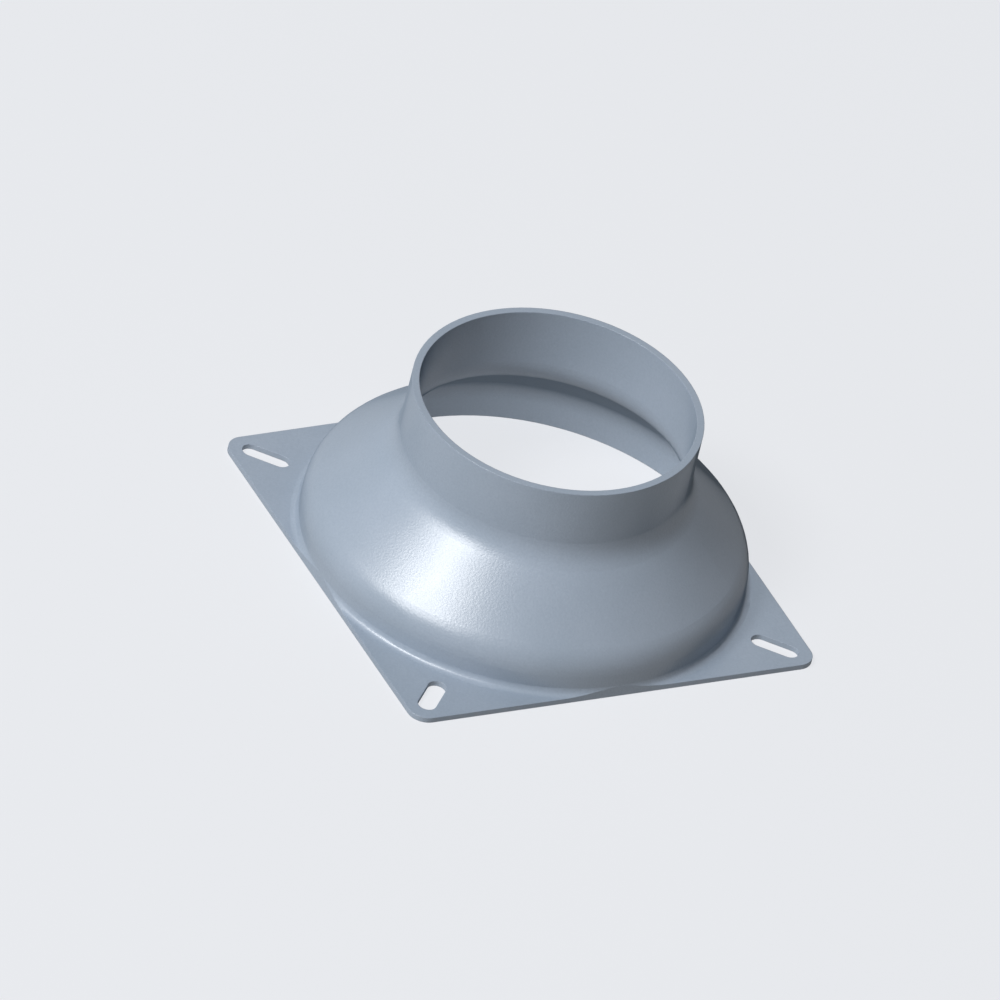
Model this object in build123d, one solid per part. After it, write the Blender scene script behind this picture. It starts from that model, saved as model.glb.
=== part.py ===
from build123d import *
import math
import os

# Square-to-round duct adapter: a square flange with four fixing slots, a domed body and a round spigot.
# It is one thin moulding, open from the underside of the flange to the rim of the spigot.
# Millimetres. The origin is the middle of the flange's underside and +Z is the duct's axis.
# +X and +Y point at two corners of the flange, so every fixing slot runs along X or along Y.

# Flange
flange_side = 120.0
flange_thick = 1.5
flange_corner_r = 5.0

# Fixing slots, one in each corner, with their length along the flange's diagonals
slot_width = 5.0
slot_run = 8.3        # between the centres of a slot's two round ends
slot_inset = 12.5     # from the flange's corner, before it is rounded, to the middle of a slot

# Body: a short upright wall, a rounded shoulder, a cone and a rounded neck
body_wall = 1.5
upright_height = 10.0  # from the flange's top to the sharp corner that the shoulder rounds off
cone_rise = 20.0       # from that corner to the one that the neck rounds off
foot_r = 2.0
shoulder_r = 10.0
neck_r = 10.0

# Spigot, which a hose is pushed over
spigot_od = 78.6
spigot_wall = 2.0
spigot_length = 20.7   # from the neck's sharp corner to the rim

# The body is as wide as the flange: its upright wall is flush with the middle of each side
body_r = flange_side / 2
mouth_r = body_r - body_wall
spigot_r = spigot_od / 2
bore_r = spigot_r - spigot_wall

# Heights above the flange's underside
foot_z = flange_thick + foot_r
shoulder_z = flange_thick + upright_height
neck_z = shoulder_z + cone_rise
rim_z = neck_z + spigot_length

# The cone's inner face is parallel to the outer one and lies this far below it, measured upright
cone_slope = cone_rise / (body_r - spigot_r)
cone_drop = body_wall * math.hypot(1.0, cone_slope)

# From the duct's axis to the middle of a slot
slot_centre_r = flange_side / math.sqrt(2) - slot_inset


def flange_prism(height):
    """A block of the flange's outline: square with rounded corners, turned to bring them onto X and Y."""
    outline = RectangleRounded(flange_side, flange_side, flange_corner_r, rotation=45)
    return extrude(outline, height)


def turned(wall_line):
    """The solid of revolution between the duct's axis and a line drawn as radius and height."""
    closing_line = Polyline(wall_line @ 1, (0, (wall_line @ 1).Y), (0, 0), wall_line @ 0)
    return revolve(Plane.XZ * make_face(wall_line + closing_line), Axis.Z)


def foot():
    """The hollow rounding where the body meets the flange, cut off flush with the flange's sides."""
    rounding = RadiusArc((body_r + foot_r, flange_thick), (body_r, foot_z), foot_r)
    edge_line = Line((body_r + foot_r, 0), rounding @ 0)
    return turned(edge_line + rounding) & flange_prism(foot_z)


def body_and_spigot():
    """Upright wall, shoulder, cone, neck and spigot in one profile, still solid inside."""
    corners = [(body_r, 0), (body_r, shoulder_z), (spigot_r, neck_z), (spigot_r, rim_z)]
    return turned(FilletPolyline(*corners, radius=[shoulder_r, neck_r]))


def airway():
    """The way through, with the same roundings inside the shoulder and the neck as outside them."""

    def cone_inside_z(radius):
        return shoulder_z + (body_r - radius) * cone_slope - cone_drop

    corners = [
        (mouth_r, 0),
        (mouth_r, cone_inside_z(mouth_r)),
        (bore_r, cone_inside_z(bore_r)),
        (bore_r, rim_z),
    ]
    return turned(FilletPolyline(*corners, radius=[shoulder_r, neck_r]))


def fixing_slots():
    """Four slots through the flange, each pointing at the duct's axis."""
    slot = extrude(SlotCenterToCenter(slot_run, slot_width), flange_thick)
    return PolarLocations(slot_centre_r, 4) * slot


def duct_adapter():
    """The whole moulding."""
    outside = flange_prism(flange_thick) + foot() + body_and_spigot()
    return outside - airway() - fixing_slots()


os.makedirs("parts", exist_ok=True)
adapter = duct_adapter()
export_step(adapter, "parts/duct_adapter.step")
print(f"height {rim_z:.2f}, mouth radius {mouth_r:.2f}, slot centre radius {slot_centre_r:.2f}")
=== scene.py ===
# %% [markdown]
# # A moulded duct adapter in a small studio
#
# The adapter carries air from a square fan to a round hose. It is one injection moulding: a thin
# square flange, a domed body and a round spigot, all in one blue-grey plastic. Its shape is already
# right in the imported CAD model, so this lesson leaves the shape alone. It sets a camera, gives the
# moulding its surface, and then adds a floor, a world and lights.

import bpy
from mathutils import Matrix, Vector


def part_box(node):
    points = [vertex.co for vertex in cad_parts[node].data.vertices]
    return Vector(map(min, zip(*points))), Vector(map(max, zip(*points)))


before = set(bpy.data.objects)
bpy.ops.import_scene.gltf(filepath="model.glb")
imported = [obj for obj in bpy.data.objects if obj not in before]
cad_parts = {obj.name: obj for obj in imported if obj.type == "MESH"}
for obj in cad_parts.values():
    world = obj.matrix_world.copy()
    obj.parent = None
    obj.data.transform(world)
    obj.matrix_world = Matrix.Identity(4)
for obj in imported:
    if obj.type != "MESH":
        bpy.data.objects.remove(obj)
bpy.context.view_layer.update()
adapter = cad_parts["duct_adapter"]
flange_low, rim_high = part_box("duct_adapter")
print("adapter from", tuple(flange_low), "to", tuple(rim_high))

# %% [markdown]
# ## The camera
#
# The picture has no perspective: parallel edges of the flange stay parallel in it. So the camera is
# orthographic. It looks down at the adapter from the front, a little to the right, and it is rolled
# to the left. The three angles and the scale came from fitting the flange's sides, the four rings of
# the body and the slots to the picture. The distance changes nothing without perspective, as long as
# the camera stands clear of the adapter.
#
# Where something stands is given by two angles in degrees: an azimuth, turned round the upright axis
# from the front, and an elevation above the floor. One function turns them into a direction, and the
# lamps further down use it too.

# %% Camera
import math

import bpy
from mathutils import Matrix, Vector

MM = 0.001
view_azimuth = 10.567
view_elevation = 36.814
view_roll = math.radians(14.137)
picture_width = 263.435 * MM
picture_pixels = 1000
picture_centre_right = -5.133 * MM
picture_centre_up = 14.581 * MM
camera_distance = 600 * MM


def direction(azimuth, elevation):
    """The unit vector from the adapter towards this azimuth and elevation."""
    angle, height = math.radians(azimuth), math.radians(elevation)
    return Vector((
        math.sin(angle) * math.cos(height),
        -math.cos(angle) * math.cos(height),
        math.sin(height),
    ))


towards_camera = direction(view_azimuth, view_elevation)
level_right = direction(view_azimuth + 90, 0)
level_up = towards_camera.cross(level_right)
picture_right = math.cos(view_roll) * level_right + math.sin(view_roll) * level_up
picture_up = math.cos(view_roll) * level_up - math.sin(view_roll) * level_right

camera = bpy.data.objects.new("camera", bpy.data.cameras.new("camera"))
camera.data.type = "ORTHO"
camera.data.ortho_scale = picture_width
camera.matrix_world = Matrix.Translation(
    picture_right * picture_centre_right + picture_up * picture_centre_up + towards_camera * camera_distance
) @ Matrix((picture_right, picture_up, towards_camera)).transposed().to_4x4()
bpy.context.scene.collection.objects.link(camera)
bpy.context.scene.camera = camera
print("camera looks along", tuple(round(-x, 3) for x in towards_camera))
print("one pixel shows", round(picture_width / MM / picture_pixels, 3), "mm of the adapter")

# %% [markdown]
# ## Colours
#
# A hex colour is written as a screen shows it, with a curve that suits the eye. Blender adds light up
# in linear values, without that curve. One function turns the first kind into the second, so every
# colour below can be read, and compared with a picture, as plain hex. The numbers in the function are
# the sRGB standard's own: a short straight piece near black, and a power above it.

# %% Hex to linear
def linear(hex_colour, alpha=1.0):
    """The linear RGBA of an sRGB hex colour such as "97a1af"."""
    channels = [int(hex_colour[i : i + 2], 16) / 255 for i in (0, 2, 4)]
    curve = [c / 12.92 if c <= 0.04045 else ((c + 0.055) / 1.055) ** 2.4 for c in channels]
    return (*curve, alpha)


white = linear("ffffff")
print("mid grey 808080 is", round(linear("808080")[0], 3), "in linear light")

# %% [markdown]
# ## One way to add a node
#
# A material is a small network of nodes. Each one needs the same three things: a kind, its settings
# and what goes into its sockets. One function does that, so a material reads as a list of steps.
# A socket takes either a plain value or the output of an earlier node.
#
# Most sockets are known by name. Some names stand for several sockets of one node, and those sockets
# go by number. A Mix node for colours takes its factor at 0 and its colours at 6 and 7, and gives the
# mixed colour as output 2. A Math node takes its numbers at 0 and 1, and a Mix Shader its two shaders
# at 1 and 2.

# %% Node helper
def add_node(tree, kind, settings=None, **sockets):
    """Adds a node. Base_Color=x fills the socket Base Color, and _6=x fills socket number 6."""
    node = tree.nodes.new("ShaderNode" + kind)
    for name, value in (settings or {}).items():
        setattr(node, name, value)
    for name, value in sockets.items():
        socket = node.inputs[int(name[1:])] if name[1:].isdigit() else node.inputs[name.replace("_", " ")]
        if isinstance(value, bpy.types.NodeSocket):
            tree.links.new(value, socket)
        else:
            socket.default_value = value
    return node


def blank_material(name):
    """A new material with an empty node tree."""
    material = bpy.data.materials.new(name)
    material.use_nodes = True
    material.node_tree.nodes.clear()
    print("new material", name)
    return material


# %% [markdown]
# ## The plastic: what it is
#
# The adapter is ABS, injection moulded. ABS is opaque, with the pigment mixed right through it, and
# its refractive index is near 1.54, so a white highlight lies over the pigment's colour. The steel
# mould was spark eroded, which leaves a fine, even grain on the moulding. The eye reads it as satin:
# the highlight is broad with a soft edge, and nothing mirrors.
#
# An image could hold the grain, but noise in the object's own space needs no unwrapping. It also runs
# on evenly from the flange over the body and into the spigot, as a sprayed or eroded grain does. That
# space is in metres, so a noise's scale is one over the width of its bumps.

# %% Blank plastic
abs_satin = blank_material("moulded_abs_satin")
abs_tree = abs_satin.node_tree
place = add_node(abs_tree, "TexCoord").outputs["Object"]
print("patterns read", place.name, "coordinates")

# %% [markdown]
# ## The grain
#
# Real eroded grain on such a part is about 0.1 mm wide and a few thousandths of a millimetre high.
# That is less than half a pixel of the picture, and drawn true it would vanish. So it is drawn
# 0.6 mm wide and 0.05 mm high: enough to break up the highlight, and too little to look like leather.
# Two things read the same noise. The colour does first, with painted shade in the pits, and the relief does
# after it.

# %% Grain
grain_width = 0.6 * MM
grain_height = 0.05 * MM

grain = add_node(abs_tree, "TexNoise", Vector=place, Scale=1 / grain_width).outputs["Fac"]
print("grain", round(grain_width / MM, 3), "mm wide and", round(grain_height / MM, 3), "mm high")

# %% [markdown]
# ## Colour of the plastic, and painted shade in its pits
#
# A moulding is never quite one colour. The melt carries the pigment in faint clouds a few centimetres
# across. Each pit of the grain is also painted a touch darker than the hill beside it: that is painted
# shade, for the little light that reaches into a pit. Both changes are small: in a plain picture they
# read only as a surface that isn't computer flat.
#
# Noise runs from 0 to 1, but hardly ever reaches either end. A Map Range node stretches the part
# where it mostly lies, so that the clouds really go from the dark colour to the light one.

# %% Pigment and painted pit shade
cloud_dark, cloud_light = "9aa7b6", "a2aebd"
cloud_width = 32 * MM
painted_pit_shade = "e6e9ec"
noise_low, noise_high = 0.3, 0.7

cloud_noise = add_node(abs_tree, "TexNoise", Vector=place, Scale=1 / cloud_width).outputs["Fac"]
cloud = add_node(abs_tree, "MapRange", Value=cloud_noise, From_Min=noise_low, From_Max=noise_high)
clouds = add_node(
    abs_tree, "Mix", {"data_type": "RGBA"},
    _0=cloud.outputs[0], _6=linear(cloud_dark), _7=linear(cloud_light),
)
# Painted shade: the pits of the grain are mixed darker into the colour, as if they caught less light.
pit_painted_shade = add_node(abs_tree, "Mix", {"data_type": "RGBA"}, _0=grain, _6=linear(painted_pit_shade), _7=white)
# The base colour is the pigment clouds times that painted shade in the pits.
pigment_and_painted_shade = add_node(
    abs_tree, "Mix", {"data_type": "RGBA", "blend_type": "MULTIPLY"},
    _0=1.0, _6=clouds.outputs[2], _7=pit_painted_shade.outputs[2],
)
print("pigment clouds from", cloud_dark, "to", cloud_light, "about", round(cloud_width / MM), "mm wide")

# %% [markdown]
# ## Relief and edges
#
# A Bump node turns the grain into hills and pits in the shading.
#
# No moulded edge is sharp either. The mould's own edges round the plastic off by a fraction of a
# millimetre, and each edge then shows a thin line of light. The CAD edges are sharp, and its mesh has
# to stay as it is, so a Bevel node bends the shading near each edge, and the grain goes on top of it.
# The Bevel node feels for edges with a few rays from each point, and more rays give less speckle.

# %% Relief
edge_radius = 0.3 * MM
edge_rays = 6

rounded = add_node(abs_tree, "Bevel", {"samples": edge_rays}, Radius=edge_radius)
grained = add_node(
    abs_tree, "Bump", Distance=grain_height, Height=grain, Normal=rounded.outputs["Normal"]
)
print("edges rounded", round(edge_radius / MM, 3), "mm")

# %% [markdown]
# ## Gloss
#
# Smooth plastic shines most where it turns away from the eye. Eroded plastic doesn't: at a shallow
# angle the little hills hide one another's shiny flanks, and the sheen fades. Layer Weight's Facing
# is 0 where the surface faces the eye and 1 where it turns away, so it can fade the specular level.
#
# The roughness sets how broad the highlight is. It swings a little over a centimetre or two, because
# the melt cools unevenly as it flows and copies the mould's grain more or less fully.

# %% Gloss
satin_roughness = 0.355
roughness_swing = 0.02
flow_width = 14 * MM
fade_begins, fade_ends = 0.15, 0.87
specular_level = 0.83

flow_noise = add_node(abs_tree, "TexNoise", Vector=place, Scale=1 / flow_width).outputs["Fac"]
roughness = add_node(
    abs_tree, "MapRange", Value=flow_noise, From_Min=noise_low, From_Max=noise_high,
    To_Min=satin_roughness - roughness_swing, To_Max=satin_roughness + roughness_swing,
)
facing = add_node(abs_tree, "LayerWeight").outputs["Facing"]
sheen = add_node(
    abs_tree, "MapRange", {"interpolation_type": "SMOOTHSTEP"},
    Value=facing, From_Min=fade_begins, From_Max=fade_ends, To_Min=specular_level, To_Max=0.0,
)
print("roughness", satin_roughness, "give or take", roughness_swing)

# %% [markdown]
# ## The finished plastic
#
# The Principled shader brings the colour, the gloss and the relief together. The index of ABS is the
# same all over, so it is set on the shader's own socket. The material then takes the place of the
# plain one in the adapter's slot.

# %% Moulded ABS
abs_ior = 1.54

plastic = add_node(
    abs_tree, "BsdfPrincipled",
    Base_Color=pigment_and_painted_shade.outputs[2],
    IOR=abs_ior,
    Roughness=roughness.outputs[0],
    Specular_IOR_Level=sheen.outputs[0],
    Normal=grained.outputs["Normal"],
)
add_node(abs_tree, "OutputMaterial", Surface=plastic.outputs["BSDF"])
adapter.data.materials[0] = abs_satin
print(adapter.name, "wears", abs_satin.name, "with", len(abs_tree.nodes), "nodes")

# %% [markdown]
# ## Even shading at the foot
#
# The rounding at the foot runs out to nothing at the middle of each side of the flange. The CAD mesh
# has a few long, thin triangles there, and the light catches on them as a bright speck. More
# triangles would cure it, but the mesh stays as it is. A Weighted Normal modifier lets the large
# triangles decide how each point is shaded, so the slivers stop counting. It moves no vertex.

# %% Shading normals
even_shading = adapter.modifiers.new("even_shading", "WEIGHTED_NORMAL")
even_shading.keep_sharp = True
print("shading evened over", len(adapter.data.polygons), "triangles")

# %% [markdown]
# ## What the camera sees, and what lights the adapter
#
# The background has to show as one pale colour, and yet throw only as much light at the adapter as
# the picture's undersides show. Those are two jobs, so the floor and the world each get two answers.
# The Light Path node tells which kind of ray is asking.

# %% Seen directly
def seen_directly(tree):
    """1 for camera, glossy and transmission rays, and 0 for the rays that carry light to the adapter."""
    path = add_node(tree, "LightPath").outputs
    camera_or_glossy = add_node(
        tree, "Math", {"operation": "MAXIMUM"}, _0=path["Is Camera Ray"], _1=path["Is Glossy Ray"]
    )
    any_of_three = add_node(
        tree, "Math", {"operation": "MAXIMUM"},
        _0=camera_or_glossy.outputs[0], _1=path["Is Transmission Ray"],
    )
    return any_of_three.outputs[0]


background_colour = "e8eaee"
print("the camera sees", background_colour, "behind the adapter")

# %% [markdown]
# ## Floor paint
#
# A pale floor stands for the picture's plain background. Lit by the lamps alone it would go dark
# under the body, also where the floor shows through the spigot. So the camera sees a blend: part
# plain diffuse paint, which takes the shadow, and part an even pale glow. The glow is for what the
# camera and reflections see only, and it never lights the adapter. The lamps light the paint to a
# little under full strength, so its colour is a step lighter than the glow's, and the two meet.
#
# The light that the floor throws back at the adapter has a colour of its own. It is darker than the
# paint, because the picture's undersides are dark, and a touch warm: the light inside the body
# bounces off blue-grey plastic several times, and would come out too blue otherwise.

# %% Floor paint
paint_colour = "f8fafe"
bounce_colour = "a9a8a5"
floor_glow = 0.7

floor_paint = blank_material("matt_floor_paint")
paint_tree = floor_paint.node_tree
direct = seen_directly(paint_tree)
paint_or_bounce = add_node(
    paint_tree, "Mix", {"data_type": "RGBA"}, _0=direct, _6=linear(bounce_colour), _7=linear(paint_colour)
)
paint = add_node(paint_tree, "BsdfDiffuse", Color=paint_or_bounce.outputs[2])
glow = add_node(paint_tree, "Emission", Color=linear(background_colour), Strength=1.0)
glow_share = add_node(paint_tree, "Math", {"operation": "MULTIPLY"}, _0=direct, _1=floor_glow)
paint_and_glow = add_node(
    paint_tree, "MixShader", _0=glow_share.outputs[0], _1=paint.outputs[0], _2=glow.outputs[0]
)
add_node(paint_tree, "OutputMaterial", Surface=paint_and_glow.outputs[0])
print("floor is", floor_glow, "glow and", round(1 - floor_glow, 2), "paint to the camera")

# %% [markdown]
# ## The floor
#
# One large square is enough. It lies a tenth of a millimetre below the flange's underside, because
# two surfaces at one height would show through each other in patches.

# %% Floor
floor_half_width = 5.0
floor_gap = 0.1 * MM

floor_height = flange_low.z - floor_gap
corners = [
    (x * floor_half_width, y * floor_half_width, floor_height)
    for x, y in ((-1, -1), (1, -1), (1, 1), (-1, 1))
]
floor_mesh = bpy.data.meshes.new("floor")
floor_mesh.from_pydata(corners, [], [(0, 1, 2, 3)])
floor_mesh.materials.append(floor_paint)
floor = bpy.data.objects.new("floor", floor_mesh)
bpy.context.scene.collection.objects.link(floor)
print("floor", 2 * floor_half_width, "m wide,", round(floor_gap / MM, 3), "mm below the flange")

# %% [markdown]
# ## The world
#
# The world is everything that no object covers. The camera and reflections meet it as a backdrop in
# the floor's colour. To the adapter it is only a weak white light from all round, as in a room with
# its lamps off, which keeps the shaded sides from going black.

# %% World
ambient_strength = 0.07

world = bpy.data.worlds.new("studio")
world.use_nodes = True
world_tree = world.node_tree
world_tree.nodes.clear()
room_light = add_node(world_tree, "Background", Color=white, Strength=ambient_strength)
backdrop = add_node(world_tree, "Background", Color=linear(background_colour), Strength=1.0)
room_or_backdrop = add_node(
    world_tree, "MixShader", _0=seen_directly(world_tree), _1=room_light.outputs[0], _2=backdrop.outputs[0]
)
add_node(world_tree, "OutputWorld", Surface=room_or_backdrop.outputs[0])
bpy.context.scene.world = world
print("room light", ambient_strength, "of white")

# %% [markdown]
# ## The lights
#
# The picture's light comes over the viewer's left shoulder. The streak down the cone and the thin line
# along the foot show where the lamp stands, and the width of the streak shows how large it is.
#
# A lamp's watts say little, because they spread with distance. So the function below takes what
# counts, the light that arrives at the adapter. Near pi W/m2, a matt surface that faces the lamp
# shows just the colour it was given.
#
# One lamp alone would leave the inside of the body in deep shadow, and in the picture the inside is
# as clear as the outside. In a real studio, white cards round the object throw light back into such
# a hollow. Here a second, larger softbox beside the first does that work: it casts no shadow, so it
# reaches the inside. It gives about four fifths of the light. The smaller one gives the rest and
# casts the soft shadow on the floor. Both stand far off, so the light is even from end to end.

# %% Softboxes
lamp_distance = 8.0


def softbox(name, azimuth, elevation, side, irradiance):
    """A square area light that gives this irradiance, in W/m2, on a surface that faces it."""
    lamp = bpy.data.lights.new(name, "AREA")
    lamp.shape = "SQUARE"
    lamp.size = side
    lamp.energy = irradiance * math.pi * lamp_distance**2
    light = bpy.data.objects.new(name, lamp)
    towards_light = direction(azimuth, elevation)
    light.location = towards_light * lamp_distance
    light.rotation_mode = "QUATERNION"
    light.rotation_quaternion = towards_light.to_track_quat("Z", "Y")
    bpy.context.scene.collection.objects.link(light)
    print(f"{name}: {lamp.energy:.1f} W, {side} m wide, {lamp_distance} m away")
    return light


softbox("key_softbox", azimuth=-40, elevation=51, side=2.2, irradiance=0.76)
hollow_fill = softbox("fill_softbox", azimuth=-41, elevation=45.5, side=4.8, irradiance=2.84)
hollow_fill.data.use_shadow = False

# %% [markdown]
# ## The last step
#
# The Standard view transform shows each colour as it was written.

bpy.context.scene.view_settings.view_transform = "Standard"
